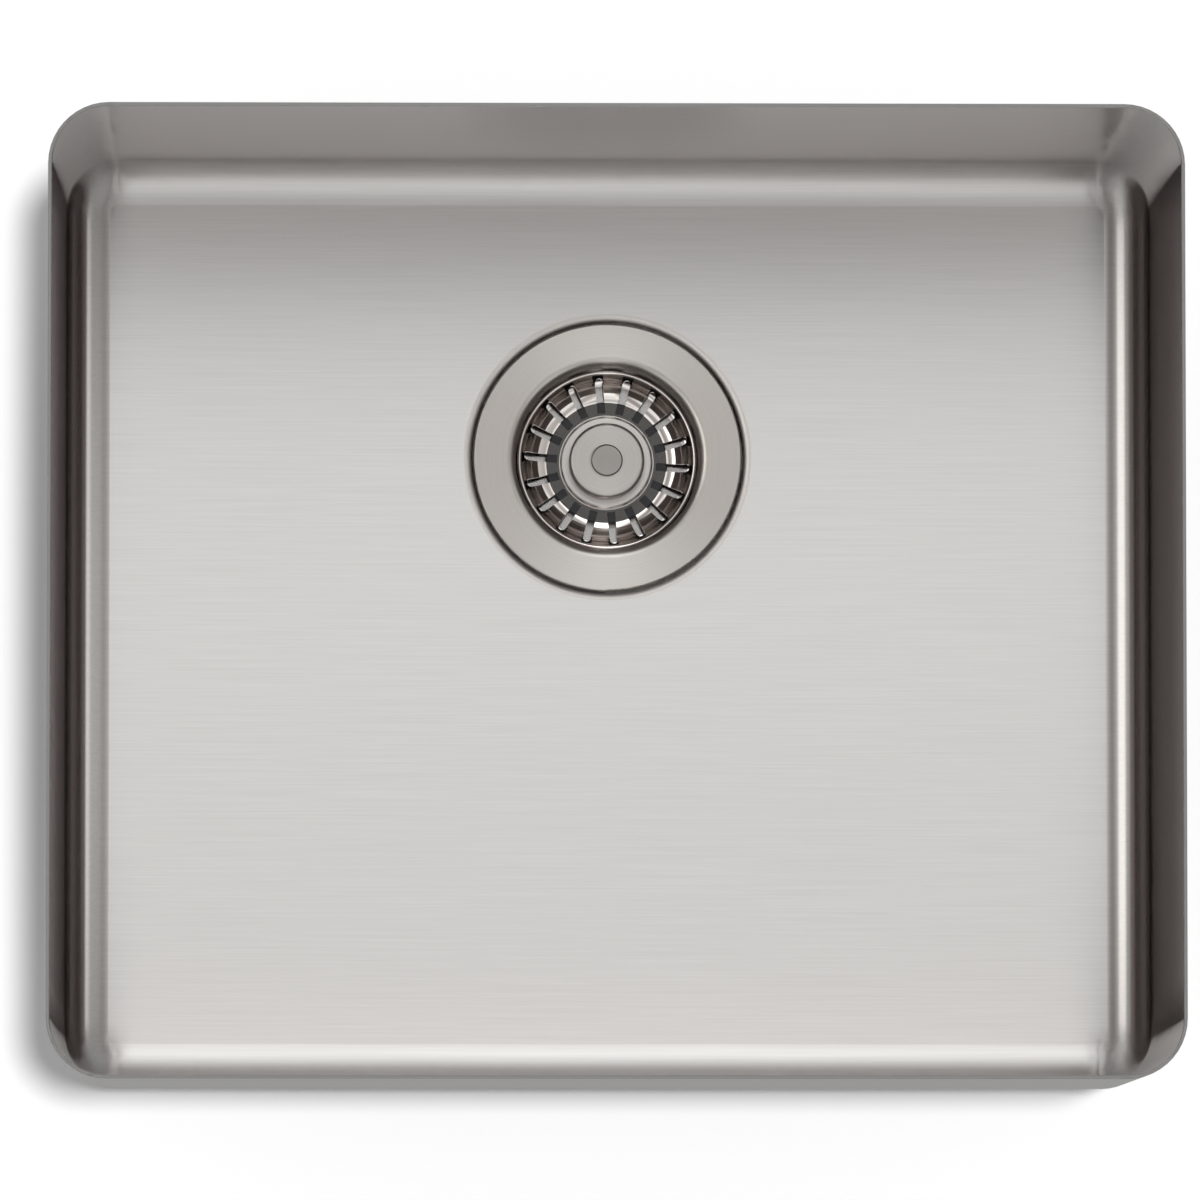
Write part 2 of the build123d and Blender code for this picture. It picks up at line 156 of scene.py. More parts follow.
AMBIENT = linear("#9f9f9f")  # the even light that matt surfaces get
ROOM_SCALE = 3.6  # a ramp holds colours up to 1, so the room is written at this fraction of its strength
# The sides are warmer than the light overhead, and each face of steel that mirrors another adds to the tint.
NEUTRAL, FAINTLY_WARM = (1.0, 1.0, 1.0), (1.03, 0.985, 0.99)
WARM, WARMER = (1.04, 0.99, 0.96), (1.12, 0.94, 0.92)
# From the user's side, over the top, to behind the sink: a pale wall, a dark gap at 7 degrees, the ceiling,
# and a bright window between 17 and 32 degrees with a dimmer wall under it.
FIRST_ALONG = by_angle(
    NEUTRAL,
    (-90, 0.44), (-58, 0.44), (-40, 0.36), (-27, 0.28), (-20, 0.30), (-7, 0.15), (0, 0.32), (9, 0.48),
    (17, 0.82), (32, 0.66), (60, 0.30), (90, 0.30),
)
# From the left, over the top, to the right: the strip light on the left that makes the white line in the
# right side's rounding, the ceiling, and a softer strip on the right for the left side's.
FIRST_SIDES = by_angle(
    WARM,
    (-90, 0.16), (-75, 0.14), (-62, 0.15), (-54, 0.20), (-50, 0.72), (-34, 0.66), (-29, 0.22), (-22, 0.13),
    (-12, 0.10), (-9, 0.15), (-5, 0.34), (5, 0.39), (9, 0.18), (14, 0.14), (30, 0.17), (50, 0.20), (60, 0.54),
    (72, 0.14), (90, 0.16),
)
# What is left of the room in a face that mirrors another: the window behind the sink, and dark sides.
LATER_ALONG = by_angle(
    FAINTLY_WARM,
    (-90, 0.45), (-58, 0.45), (-27, 0.28), (-16, 0.22), (-7, 0.25), (0, 0.40), (8, 0.90), (20, 1.00),
    (90, 1.00),
)
LATER_SIDES = by_angle(
    WARMER,
    (-90, 0.28), (-60, 0.06), (-10, 0.02), (-5, 0.18), (5, 0.27), (9, 0.12), (14, 0.04), (58, 0.05),
    (75, 0.23), (90, 0.27),
)
# where the panels at the sides take over from the light overhead, counted from just right of straight up
SIDE_CENTRE, SIDE_START, SIDE_FULL = radians(1.0), radians(3.5), radians(6.5)
# where the pale walls take over, counted from the nearer of the two axes, and their level
WALLS_START, WALLS_FULL = radians(16.0), radians(28.0)
WALLS_LEVEL = 0.30
# the dark patch overhead, where the camera's stand hides the light, and its level
STAND_TO_RIGHT, STAND_TO_BACK = radians(1.1), radians(4.75)  # from straight up
STAND_AT = Vector((tan(STAND_TO_RIGHT), tan(STAND_TO_BACK), 1.0)).normalized()
STAND_INNER, STAND_OUTER = radians(2.2), radians(3.6)
STAND_LEVEL = 0.02
LATER_FROM = 1.5  # a ray has this many glossy bounces or more once it has left a second face

world = bpy.data.worlds.new("room")
bpy.context.scene.world = world
world.use_nodes = True
world.cycles.sampling_method = "NONE"
room = world.node_tree
room.nodes.clear()
toward = add(room, "ShaderNodeTexCoord").outputs["Generated"]
direction = add(room, "ShaderNodeSeparateXYZ", {0: toward})


def angle_place(sideways_output):
    """The angle from straight up towards an axis, and its place in a ramp from -90 to 90 degrees."""
    angle = add(
        room, "ShaderNodeMath", {0: sideways_output, 1: direction.outputs["Z"]}, operation="ARCTAN2"
    ).outputs[0]
    place = add(
        room, "ShaderNodeMath", {0: angle, 1: 1 / pi, 2: 0.5}, operation="MULTIPLY_ADD", use_clamp=True
    )
    return angle, place.outputs[0]


side_angle, side_place = angle_place(direction.outputs["X"])
along_angle, along_place = angle_place(direction.outputs["Y"])
off_centre = add(room, "ShaderNodeMath", {0: side_angle, 1: SIDE_CENTRE}, operation="SUBTRACT")
sideways = add(room, "ShaderNodeMath", {0: off_centre.outputs[0]}, operation="ABSOLUTE")
towards_sides = add(
    room,
    "ShaderNodeMapRange",
    {"Value": sideways.outputs[0], "From Min": SIDE_START, "From Max": SIDE_FULL},
    interpolation_type="SMOOTHSTEP",
)
off_side = add(room, "ShaderNodeMath", {0: side_angle}, operation="ABSOLUTE")
off_along = add(room, "ShaderNodeMath", {0: along_angle}, operation="ABSOLUTE")
off_both = add(room, "ShaderNodeMath", {0: off_side.outputs[0], 1: off_along.outputs[0]}, operation="MINIMUM")
towards_walls = add(
    room,
    "ShaderNodeMapRange",
    {"Value": off_both.outputs[0], "From Min": WALLS_START, "From Max": WALLS_FULL},
    interpolation_type="SMOOTHSTEP",
)
nearness = add(room, "ShaderNodeVectorMath", {0: toward, 1: tuple(STAND_AT)}, operation="DOT_PRODUCT")
behind_stand = add(
    room,
    "ShaderNodeMapRange",
    {"Value": nearness.outputs["Value"], "From Min": cos(STAND_OUTER), "From Max": cos(STAND_INNER)},
    interpolation_type="SMOOTHSTEP",
)


def room_seen(along_stops, side_stops):
    """The room by direction: the light overhead, the panels at the sides and the stand's dark patch."""
    along_room = add(room, "ShaderNodeValToRGB", {0: along_place}, stops=along_stops)
    side_room = add(room, "ShaderNodeValToRGB", {0: side_place}, stops=side_stops)
    whole = add(
        room,
        "ShaderNodeMix",
        {0: towards_sides.outputs[0], 6: along_room.outputs[0], 7: side_room.outputs[0]},
        data_type="RGBA",
    )
    return add(
        room,
        "ShaderNodeMix",
        {0: behind_stand.outputs[0], 6: whole.outputs[2], 7: grey(STAND_LEVEL)},
        data_type="RGBA",
    )


# The room at the first reflection, with its pale walls, and what is left of it where a face mirrors another.
open_room = room_seen(FIRST_ALONG, FIRST_SIDES)
first_room = add(
    room,
    "ShaderNodeMix",
    {0: towards_walls.outputs[0], 6: open_room.outputs[2], 7: grey(WALLS_LEVEL)},
    data_type="RGBA",
)
later_room = room_seen(LATER_ALONG, LATER_SIDES)
rays = add(room, "ShaderNodeLightPath")
seen_white = add(
    room,
    "ShaderNodeMath",
    {0: rays.outputs["Is Camera Ray"], 1: rays.outputs["Is Transmission Ray"]},
    operation="MAXIMUM",
)
soft_light = add(room, "ShaderNodeBackground", {"Color": AMBIENT, "Strength": 1.0})
again = add(
    room, "ShaderNodeMath", {0: rays.outputs["Glossy Depth"], 1: LATER_FROM}, operation="GREATER_THAN"
)
either_room = add(
    room,
    "ShaderNodeMix",
    {0: again.outputs[0], 6: first_room.outputs[2], 7: later_room.outputs[2]},
    data_type="RGBA",
)
reflected = add(room, "ShaderNodeBackground", {"Color": either_room.outputs[2], "Strength": ROOM_SCALE})
white_behind = add(room, "ShaderNodeBackground", {"Color": WHITE, "Strength": 1.0})
for_metal = add(
    room,
    "ShaderNodeMixShader",
    {0: rays.outputs["Is Glossy Ray"], 1: soft_light.outputs[0], 2: reflected.outputs[0]},
)
for_camera = add(
    room,
    "ShaderNodeMixShader",
    {0: seen_white.outputs[0], 1: for_metal.outputs[0], 2: white_behind.outputs[0]},
)
add(room, "ShaderNodeOutputWorld", {"Surface": for_camera.outputs[0]})

# ---------------------------------------------------------------- floor under the sink
# White paint that glows faintly to the camera and in the steel, so that only the sink's shadow is grey on it.
# Seen from below it isn't there.
GROUND_SIZE = 60.0
PAINT_LEVEL = 0.90
PAINT_GLOW = 0.07

bpy.ops.mesh.primitive_plane_add(size=GROUND_SIZE, location=(0, 0, GROUND_LEVEL))
studio_floor = bpy.context.object
studio_floor.name = "studio_floor"
floor_paint, tree = empty_material("white_studio_floor")
rays = add(tree, "ShaderNodeLightPath")
matt = add(tree, "ShaderNodeBsdfDiffuse", {"Color": grey(PAINT_LEVEL)})
lift = add(
    tree,
    "ShaderNodeMath",
    {0: rays.outputs["Is Camera Ray"], 1: rays.outputs["Is Glossy Ray"]},
    operation="MAXIMUM",
)
lift_strength = add(tree, "ShaderNodeMath", {0: lift.outputs[0], 1: PAINT_GLOW}, operation="MULTIPLY")
glow = add(tree, "ShaderNodeEmission", {"Color": WHITE, "Strength": lift_strength.outputs[0]})
painted = add(tree, "ShaderNodeAddShader", {0: matt.outputs[0], 1: glow.outputs[0]})
nothing = add(tree, "ShaderNodeBsdfTransparent")
under = add(tree, "ShaderNodeNewGeometry")
one_sided = add(
    tree,
    "ShaderNodeMixShader",
    {0: under.outputs["Backfacing"], 1: painted.outputs[0], 2: nothing.outputs[0]},
)
add(tree, "ShaderNodeOutputMaterial", {"Surface": one_sided.outputs[0]})
studio_floor.data.materials.append(floor_paint)


# ---------------------------------------------------------------- the bowl's steel
BRUSHED_ROUGHNESS = 0.28
MILL_ROUGHNESS = 0.50
COINED_ROUGHNESS = 0.70
DRAWN_ROUGHNESS = 0.45
SHEARED_ROUGHNESS = 0.45
# where the finishes change
NEAR_WASTE = 63 * MM  # from the waste's axis at the floor's level, and past the recess's lip
RECESS_START, RECESS_FULL = -200.02 * MM, -200.5 * MM
RIM_FROM = -0.32 * MM
CORNER_STARTS = (("X", 200 * MM), ("Y", 167 * MM))  # from the bowl's middle
CORNER_FADE = 14 * MM
# The sheet is brushed with lines 0.2 mm apart. They are too fine to show, so they are drawn 0.8 mm apart.
BRUSH_LINES = (16.0, 1250.0, 1250.0)  # in a metre: 62 mm long, 0.8 mm apart
BRUSH_DEPTH = 0.02 * MM
BRUSH_STRENGTH = 0.05
# The deep-drawn corners are a little uneven, in soft patches that are stretched up the wall.
CORNER_PATCHES = (125.0, 125.0, 42.0)  # in a metre: 8 mm wide, 24 mm tall
PATCH_DEPTH = 0.5 * MM


def brushed_bowl_steel():
    """Brushed 304 stainless sheet, pressed into the bowl: its grain runs along X over the floor and the long
    walls and up the short walls, so that reflections smear across the grain and stay sharp along it. The four
    deep-drawn corners are duller. The outside is left as the mill rolled it, dull and unbrushed, and painted
    shade darkens its colour. The recess that the punch coined for the waste is satin. The sheared rim is
    duller, and painted shade darkens its colour too."""
    material, tree = empty_material("brushed_stainless_sheet")
    shape = add(tree, "ShaderNodeNewGeometry")
    place = add(tree, "ShaderNodeTexCoord").outputs["Object"]
    # outside and inside, told apart by whether the face looks away from the bowl's middle
    from_middle = add(
        tree, "ShaderNodeVectorMath", {0: place, 1: (0.0, 0.0, -BOWL_DEPTH / 2)}, operation="SUBTRACT"
    )
    outward = add(
        tree,
        "ShaderNodeVectorMath",
        {0: shape.outputs["Normal"], 1: from_middle.outputs[0]},
        operation="DOT_PRODUCT",
    )
    waste_on_floor = (WASTE_CENTRE[0], WASTE_CENTRE[1], -BOWL_DEPTH)
    from_waste = add(tree, "ShaderNodeVectorMath", {0: place, 1: waste_on_floor}, operation="DISTANCE")
    near_waste = add(
        tree, "ShaderNodeMath", {0: from_waste.outputs["Value"], 1: NEAR_WASTE}, operation="LESS_THAN"
    )
    faces_out = add(tree, "ShaderNodeMath", {0: outward.outputs["Value"], 1: 0.0}, operation="GREATER_THAN")
    outside = add(
        tree,
        "ShaderNodeMath",
        {0: faces_out.outputs[0], 1: near_waste.outputs[0]},
        operation="SUBTRACT",
        use_clamp=True,
    )
    # the recess, the four corners and the sheared rim
    level = add(tree, "ShaderNodeSeparateXYZ", {0: place})
    below_floor = add(
        tree,
        "ShaderNodeMapRange",
        {"Value": level.outputs["Z"], "From Min": RECESS_START, "From Max": RECESS_FULL},
    )
    in_recess = add(
        tree, "ShaderNodeMath", {0: below_floor.outputs[0], 1: near_waste.outputs[0]}, operation="MULTIPLY"
    )
    reach = add(tree, "ShaderNodeVectorMath", {0: place}, operation="ABSOLUTE")
    out_from_middle = add(tree, "ShaderNodeSeparateXYZ", {0: reach.outputs[0]})
    drawn = [
        add(
            tree,
            "ShaderNodeMapRange",
            {"Value": out_from_middle.outputs[axis], "From Min": start, "From Max": start + CORNER_FADE},
            interpolation_type="SMOOTHSTEP",
        ).outputs[0]
        for axis, start in CORNER_STARTS
    ]
    in_corner = add(tree, "ShaderNodeMath", {0: drawn[0], 1: drawn[1]}, operation="MULTIPLY")
    on_rim = add(tree, "ShaderNodeMath", {0: level.outputs["Z"], 1: RIM_FROM}, operation="GREATER_THAN")
    # roughness by finish
    drawn_roughness = add(
        tree, "ShaderNodeMix", {0: in_corner.outputs[0], 2: BRUSHED_ROUGHNESS, 3: DRAWN_ROUGHNESS}
    )
    face_roughness = add(
        tree, "ShaderNodeMix", {0: in_recess.outputs[0], 2: drawn_roughness.outputs[0], 3: COINED_ROUGHNESS}
    )
    side_roughness = add(
        tree, "ShaderNodeMix", {0: outside.outputs[0], 2: face_roughness.outputs[0], 3: MILL_ROUGHNESS}
    )
    roughness = add(
        tree, "ShaderNodeMix", {0: on_rim.outputs[0], 2: side_roughness.outputs[0], 3: SHEARED_ROUGHNESS}
    )
    # the direction across the grain, in which reflections smear
    across_grain = add(
        tree,
        "ShaderNodeVectorMath",
        {0: shape.outputs["Normal"], 1: (1.0, 0.0, 0.0)},
        operation="CROSS_PRODUCT",
    )
    tangent = add(tree, "ShaderNodeVectorMath", {0: across_grain.outputs[0]}, operation="NORMALIZE")
    # colour
    lines = add(tree, "ShaderNodeMapping", {"Vector": place, "Scale": BRUSH_LINES})
    brushing = add(
        tree,
        "ShaderNodeTexNoise",
        {"Vector": lines.outputs[0], "Scale": 1.0, "Detail": 2.0, "Roughness": 0.6},
    )
    tone = add(
        tree,
        "ShaderNodeValToRGB",
        {0: brushing.outputs["Fac"]},
        stops=[(0.3, linear("#bbbab8")), (0.7, linear("#c2c1bf"))],
    )
    # painted shade: the outside's colour is darkened so that its strip below the near rim reads as the sink's
    # shadow
    colour_with_painted_shade_outside = add(
        tree,
        "ShaderNodeMix",
        {0: outside.outputs[0], 6: tone.outputs[0], 7: linear("#949492")},
        data_type="RGBA",
    )
    # painted shade: the sheared rim's colour is darkened; its duller roughness is the cut edge's own
    colour = add(
        tree,
        "ShaderNodeMix",
        {0: on_rim.outputs[0], 6: colour_with_painted_shade_outside.outputs[2], 7: linear("#8d8d8c")},
        data_type="RGBA",
    )
    # the brush lines and the corners' patches
    scratched = add(
        tree,
        "ShaderNodeBump",
        {"Strength": BRUSH_STRENGTH, "Distance": BRUSH_DEPTH, "Height": brushing.outputs["Fac"]},
    )
    patches = add(tree, "ShaderNodeMapping", {"Vector": place, "Scale": CORNER_PATCHES})
    peel = add(tree, "ShaderNodeTexNoise", {"Vector": patches.outputs[0], "Scale": 1.0, "Detail": 1.0})
    relief = add(
        tree,
        "ShaderNodeBump",
        {
            "Strength": in_corner.outputs[0],
            "Distance": PATCH_DEPTH,
            "Height": peel.outputs["Fac"],
            "Normal": scratched.outputs[0],
        },
    )
    steel = add(
        tree,
        "ShaderNodeBsdfPrincipled",
        {
            "Base Color": colour.outputs[2],
            "Metallic": 1.0,
            "Roughness": roughness.outputs[0],
            "Anisotropic": 0.95,
            "Tangent": tangent.outputs[0],
            "Normal": relief.outputs[0],
        },
    )
    add(tree, "ShaderNodeOutputMaterial", {"Surface": steel.outputs[0]})
    return material


# ---------------------------------------------------------------- the other pieces' materials
def turned_steel(name, dark, light, roughness, anisotropic, line_spacing, core=None):
    """Metal brushed or polished while it spins on the waste's axis: fine rings round the axis. A core gives
    the radius within which the piece has another finish, and that finish's colour and roughness. On the
    dish, the well's lighter colour is painted light."""
    material, tree = empty_material(name)
    shape = add(tree, "ShaderNodeNewGeometry")
    place = add(tree, "ShaderNodeTexCoord").outputs["Object"]
    from_axis = add(tree, "ShaderNodeVectorMath", {0: place, 1: WASTE_CENTRE}, operation="SUBTRACT")
    around = add(
        tree, "ShaderNodeVectorMath", {0: (0.0, 0.0, 1.0), 1: from_axis.outputs[0]}, operation="CROSS_PRODUCT"
    )
    across_rings = add(
        tree,
        "ShaderNodeVectorMath",
        {0: shape.outputs["Normal"], 1: around.outputs[0]},
        operation="CROSS_PRODUCT",
    )
    tangent = add(tree, "ShaderNodeVectorMath", {0: across_rings.outputs[0]}, operation="NORMALIZE")
    # rings on flat faces and on upright ones alike, since the radius and the height are added up
    flat = add(
        tree, "ShaderNodeVectorMath", {0: from_axis.outputs[0], 1: (1.0, 1.0, 0.0)}, operation="MULTIPLY"
    )
    radius = add(tree, "ShaderNodeVectorMath", {0: flat.outputs[0]}, operation="LENGTH")
    height = add(tree, "ShaderNodeSeparateXYZ", {0: from_axis.outputs[0]})
    ring = add(tree, "ShaderNodeMath", {0: radius.outputs["Value"], 1: height.outputs["Z"]}, operation="ADD")
    ring_place = add(tree, "ShaderNodeMath", {0: ring.outputs[0], 1: 1 / line_spacing}, operation="MULTIPLY")
    rings = add(
        tree,
        "ShaderNodeTexNoise",
        {"W": ring_place.outputs[0], "Scale": 1.0, "Detail": 2.0},
        noise_dimensions="1D",
    )
    tone = add(
        tree,
        "ShaderNodeValToRGB",
        {0: rings.outputs["Fac"]},
        stops=[(0.3, linear(dark)), (0.7, linear(light))],
    )
    colour = tone.outputs[0]
    if core:
        core_radius, core_colour, core_roughness = core
        in_core = add(
            tree, "ShaderNodeMath", {0: radius.outputs["Value"], 1: core_radius}, operation="LESS_THAN"
        )
        colour = add(
            tree,
            "ShaderNodeMix",
            {0: in_core.outputs[0], 6: colour, 7: linear(core_colour)},
            data_type="RGBA",
        ).outputs[2]
        roughness = add(
            tree, "ShaderNodeMix", {0: in_core.outputs[0], 2: roughness, 3: core_roughness}
        ).outputs[0]
    steel = add(
        tree,
        "ShaderNodeBsdfPrincipled",
        {
            "Base Color": colour,
            "Metallic": 1.0,
            "Roughness": roughness,
            "Anisotropic": anisotropic,
            "Tangent": tangent.outputs[0],
        },
    )
    add(tree, "ShaderNodeOutputMaterial", {"Surface": steel.outputs[0]})
    return material


def moulding(name, dark, light, roughness, grain, relief_depth):
    """A rubber or plastic moulding: matt, with the slight unevenness that its mould leaves."""
    material, tree = empty_material(name)
    place = add(tree, "ShaderNodeTexCoord").outputs["Object"]
    mottle = add(tree, "ShaderNodeTexNoise", {"Vector": place, "Scale": 1 / grain, "Detail": 3.0})
    tone = add(
        tree,
        "ShaderNodeValToRGB",
        {0: mottle.outputs["Fac"]},
        stops=[(0.35, linear(dark)), (0.65, linear(light))],
    )
    relief = add(
        tree, "ShaderNodeBump", {"Strength": 0.3, "Distance": relief_depth, "Height": mottle.outputs["Fac"]}
    )
    surface = add(
        tree,
        "ShaderNodeBsdfPrincipled",
        {"Base Color": tone.outputs[0], "Roughness": roughness, "IOR": 1.5, "Normal": relief.outputs[0]},
    )
    add(tree, "ShaderNodeOutputMaterial", {"Surface": surface.outputs[0]})
    return material


finishes = {
    "bowl_steel": brushed_bowl_steel(),
    # The dish's flange is brushed as it spins, with rings 0.2 mm apart that are drawn 0.5 mm apart. Its well
    # is polished, and its lighter colour there is painted light that brightens the shaded well.
    "dish_steel": turned_steel(
        "turned_dish_steel", "#bab7b3", "#c4c1bd", 0.30, 0.7, 0.5 * MM, core=(38.6 * MM, "#ebe9e6", 0.12)
    ),
    # The basket is polished like a mirror, with a satin boss under the knob.
    "basket_steel": turned_steel(
        "polished_basket_steel", "#dcd8d4", "#e0dcd8", 0.07, 0.3, 0.8 * MM, core=(20.2 * MM, "#cbc9c6", 0.32)
    ),
    # The knob is satin, and the head of its screw in the middle is a shade darker.
    "knob_steel": turned_steel(
        "satin_knob_steel", "#b8b6b3", "#bfbdba", 0.36, 0.3, 0.5 * MM, core=(6.62 * MM, "#a3a19e", 0.40)
    ),
    # Screws, plates and clips are turned and left plain, with a soft gloss, and the brass thread likewise.
    "fixing_steel": turned_steel("plain_turned_steel", "#b4b2af", "#c2c0bd", 0.30, 0.5, 0.4 * MM),
    "insert_brass": turned_steel("turned_brass", "#c9a463", "#d6b474", 0.28, 0.4, 0.4 * MM),
    # The stopper's rubber has a low gloss, the gaskets' is duller and the pads are quite matt and mottled.
    "seal_rubber": moulding("black_nitrile_rubber", "#202022", "#2a2a2c", 0.55, 1.5 * MM, 0.02 * MM),
    "gasket_rubber": moulding("black_gasket_rubber", "#2b2b2b", "#353535", 0.65, 1.5 * MM, 0.02 * MM),
    "pad_rubber": moulding("grey_butyl_pad", "#6b6b6d", "#77777a", 0.75, 2.5 * MM, 0.10 * MM),
    # The body is milky white with a soft gloss, and the bush is ivory and a little glossier.
    "body_plastic": moulding("white_polypropylene", "#e4e3df", "#ebeae6", 0.40, 4.0 * MM, 0.02 * MM),
    "bush_plastic": moulding("natural_acetal", "#e8e4dc", "#efebe3", 0.35, 2.0 * MM, 0.01 * MM),
}
for subpart in frame["record"]["subparts"]:
    piece = frame["nodes"][subpart["node"]]
    finish = finishes[subpart["material_slot"]]
    if not piece.material_slots:
        piece.data.materials.append(finish)
    for material_slot in piece.material_slots:
        material_slot.material = finish


def finish_skin(skin, inside_out, material):
    """Turns a skin's faces round where they are inside out, smooths it, and fixes it to the sink."""
    if inside_out:
        bpy.ops.object.mode_set(mode="EDIT")
        bpy.ops.mesh.select_all(action="SELECT")
        bpy.ops.mesh.flip_normals()
        bpy.ops.object.mode_set(mode="OBJECT")
    bpy.ops.object.shade_smooth()
    skin.data.materials.append(material)
    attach(skin, "sink")


# ---------------------------------------------------------------- the recess's lip
# The CAD's mesh of the bowl shows flats 5 mm long where the floor rolls down into the recess. This skin is
# turned in finer steps and lies over it by less than a tenth of a millimetre, so that the lip shows as round
# as it is.
TURN_STEPS = 256
ARC_STEPS = 10
SKIN_OVER = 0.08 * MM  # what it stands proud of an upright face
SKIN_EDGE = 0.005 * MM  # and of the flat floor
LIP_FLAT = 0.6 * MM  # how far the skin reaches over the flat floor
LIP_ARC = (60.403 * MM, -202.5 * MM, 2.5 * MM)  # centre's radius and level, and the arc's radius
FOOT_ARC = (56.879 * MM, -202.0 * MM, 1.0 * MM)
SIDE_ANGLE = 1.249  # steepness of the recess's side in radians, 3 mm down for 1 mm across


def turned_skin(name, profile, material):
    """A skin turned round the waste's axis through (radius, level) points, seen from above."""
    centre_x, centre_y = WASTE_CENTRE[0], WASTE_CENTRE[1]
    outer_radius, top = profile[0]
    bpy.ops.mesh.primitive_circle_add(
        vertices=TURN_STEPS, radius=outer_radius, location=(centre_x, centre_y, top)
    )
    skin = bpy.context.object
    skin.name = name
    bpy.ops.object.transform_apply(location=True, rotation=False, scale=False)
    bpy.ops.object.mode_set(mode="EDIT")
    bpy.ops.mesh.select_all(action="SELECT")
    for (radius, level), (next_radius, next_level) in zip(profile, profile[1:]):
        bpy.ops.mesh.extrude_edges_move(TRANSFORM_OT_translate={"value": (0, 0, next_level - level)})
        factor = next_radius / radius
        bpy.ops.transform.resize(value=(factor, factor, 1), center_override=(centre_x, centre_y, next_level))
    bpy.ops.mesh.select_all(action="SELECT")
    bpy.ops.mesh.remove_doubles(threshold=SAME_POINT)
    bpy.ops.object.mode_set(mode="OBJECT")
    finish_skin(skin, sum(face.normal.z for face in skin.data.polygons) < 0, material)
    return skin


def lip_profile():
    """The recess's lip from the floor down to its foot, a little proud of the CAD."""
    points = [(LIP_ARC[0] + LIP_FLAT, LIP_ARC[1] + LIP_ARC[2] + SKIN_EDGE)]
    for (centre, level, radius), side, angles in (
        (LIP_ARC, -1, [SIDE_ANGLE * k / ARC_STEPS for k in range(ARC_STEPS + 1)]),
        (FOOT_ARC, 1, [SIDE_ANGLE * (1 - k / ARC_STEPS) for k in range(ARC_STEPS + 1)]),
    ):
        for angle in angles:
            over = SKIN_EDGE + SKIN_OVER * sin(angle)
            reach = radius - side * over
            points.append((centre + side * reach * sin(angle), level - side * reach * cos(angle)))
    return points


# the punch that coins the recess leaves its lip satin, with no brushing; its colour, lighter than the bowl's
# steel, is painted light
coined_steel_with_painted_light = turned_steel("coined_lip_steel_painted_light", "#dbd9d6", "#e2e0dd", 0.50, 0.0, 0.5 * MM)
lip = turned_skin("recess_lip", lip_profile(), coined_steel_with_painted_light)

# ---------------------------------------------------------------- the bowl's inner walls
# The CAD's mesh turns each upright corner in eight flats of 11 degrees, which show as wedges to a camera that
# looks down along the wall. A skin in steps of about one degree lies over the walls, little more than a tenth
# of a millimetre proud of them.
CORNER_AXIS = (208 * MM, 175 * MM)
CORNER_RADIUS = 23.5 * MM  # inside, at the rim
CORNER_STEPS = 384  # for a full turn
WALL_CUTS = 20  # each straight wall, so that the corners' smoothing stays near them
WALL_DRAFT = 2.5 / 200
WALL_OVER = 0.13 * MM
WALL_LEVELS = [level * MM for level in (-0.35, -0.45, -0.65, -20, -60, -120, -175)]
PROUD_BELOW = -0.4 * MM  # above this level the skin meets the wall
ROUNDING = (3.224 * MM, -182 * MM, 18 * MM)  # centre's distance from the corner's axis, its level, the radius
ROUNDING_STEP = 4  # degrees
ROUNDING_FLUSH = 35  # degrees down the rounding, past which the skin sinks into the sheet
ROUNDING_COVERED = 45  # degrees


def wall_profile():
    """A corner's (radius, level) points from under the rim down into the rounding above the floor."""
    points = []
    for level in WALL_LEVELS:
        over = WALL_OVER if level < PROUD_BELOW else 0.0
        points.append((CORNER_RADIUS + WALL_DRAFT * level - over, level))
    centre, level, radius = ROUNDING
    for turned in range(1, ROUNDING_COVERED, ROUNDING_STEP):
        reach = radius - WALL_OVER * (1 - turned / ROUNDING_FLUSH)
        points.append((centre + reach * cos(radians(turned)), level - reach * sin(radians(turned))))
    return points


def select_points(mesh, wanted):
    """Selects the mesh's points with the wanted numbers and goes back to edit mode."""
    bpy.ops.mesh.select_all(action="DESELECT")
    bpy.ops.object.mode_set(mode="OBJECT")
    for number in wanted:
        mesh.vertices[number].select = True
    bpy.ops.object.mode_set(mode="EDIT")
    bpy.ops.mesh.select_mode(type="VERT")


def by_corner(mesh):
    """The selected points' numbers in all, and with each corner's axis those that belong to it."""
    bpy.ops.object.mode_set(mode="OBJECT")
    chosen = [point.index for point in mesh.vertices if point.select]
    corners = []
    for side_x, side_y in ((-1, 1), (1, 1), (-1, -1), (1, -1)):
        on_side = [n for n in chosen if mesh.vertices[n].co.x * side_x > 0]
        near = [n for n in on_side if mesh.vertices[n].co.y * side_y > 0]
        corners.append((side_x * CORNER_AXIS[0], side_y * CORNER_AXIS[1], near))
    bpy.ops.object.mode_set(mode="EDIT")
    return chosen, corners


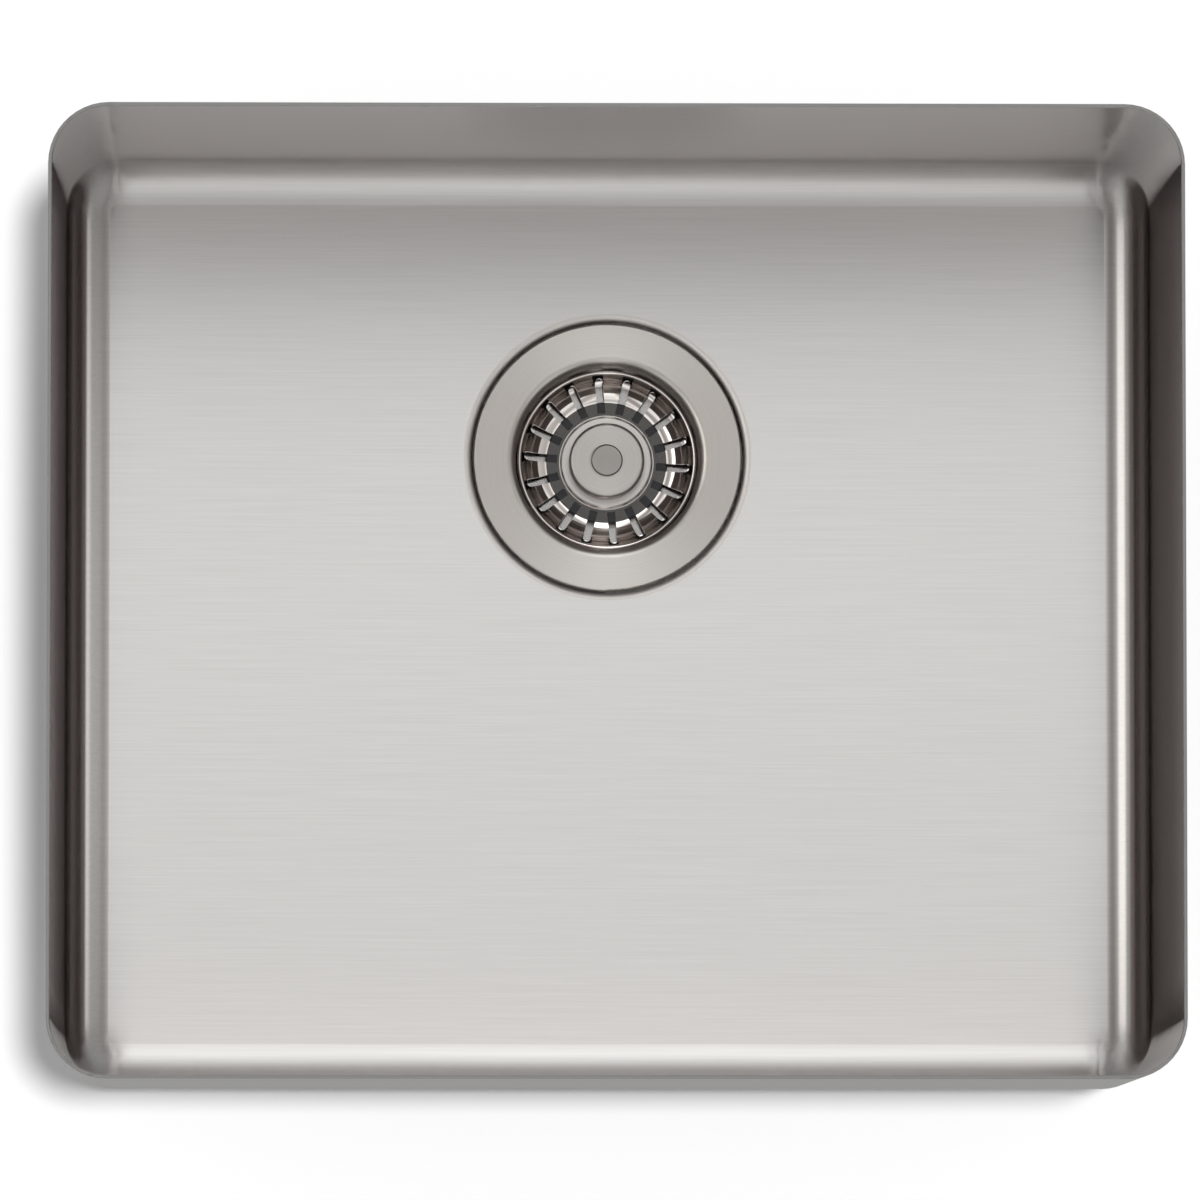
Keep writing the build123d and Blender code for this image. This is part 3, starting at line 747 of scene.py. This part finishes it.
def wall_skin(name, profile, material):
    """A skin over the inside of the four walls, a rounded rectangle extruded down in steps."""
    corner_radius, top = profile[0]
    bpy.ops.mesh.primitive_circle_add(
        vertices=CORNER_STEPS, radius=corner_radius, location=(0, 0, top), rotation=(0, 0, pi / CORNER_STEPS)
    )
    skin = bpy.context.object
    skin.name = name
    mesh = skin.data
    bpy.ops.object.transform_apply(location=True, rotation=True, scale=False)
    # the circle's quarters move out to the corners, and the four edges between them stretch along the walls
    bpy.ops.object.mode_set(mode="EDIT")
    bpy.ops.mesh.select_all(action="SELECT")
    for axis_x, axis_y, near in by_corner(mesh)[1]:
        select_points(mesh, near)
        bpy.ops.transform.translate(value=(axis_x, axis_y, 0))
    bpy.ops.mesh.select_all(action="DESELECT")
    bpy.ops.mesh.select_mode(type="EDGE")
    bpy.ops.object.mode_set(mode="OBJECT")
    for edge in mesh.edges:
        start, end = (mesh.vertices[n].co for n in edge.vertices)
        edge.select = (end - start).length > CORNER_AXIS[1]
    bpy.ops.object.mode_set(mode="EDIT")
    bpy.ops.mesh.subdivide(number_cuts=WALL_CUTS)
    bpy.ops.mesh.select_mode(type="VERT")
    bpy.ops.mesh.select_all(action="SELECT")
    # each step down turns in round the corners' own axes
    for (radius, level), (next_radius, next_level) in zip(profile, profile[1:]):
        bpy.ops.mesh.extrude_edges_move(TRANSFORM_OT_translate={"value": (0, 0, next_level - level)})
        lowest, corners = by_corner(mesh)
        factor = next_radius / radius
        for axis_x, axis_y, near in corners:
            select_points(mesh, near)
            bpy.ops.transform.resize(value=(factor, factor, 1), center_override=(axis_x, axis_y, next_level))
        select_points(mesh, lowest)
    bpy.ops.mesh.select_all(action="SELECT")
    bpy.ops.mesh.remove_doubles(threshold=SAME_POINT)
    bpy.ops.object.mode_set(mode="OBJECT")
    outwards = sum(face.normal.dot(face.center) * face.area for face in mesh.polygons)
    finish_skin(skin, outwards > 0, material)
    return skin


inner_walls = wall_skin("inner_wall_skin", wall_profile(), finishes["bowl_steel"])
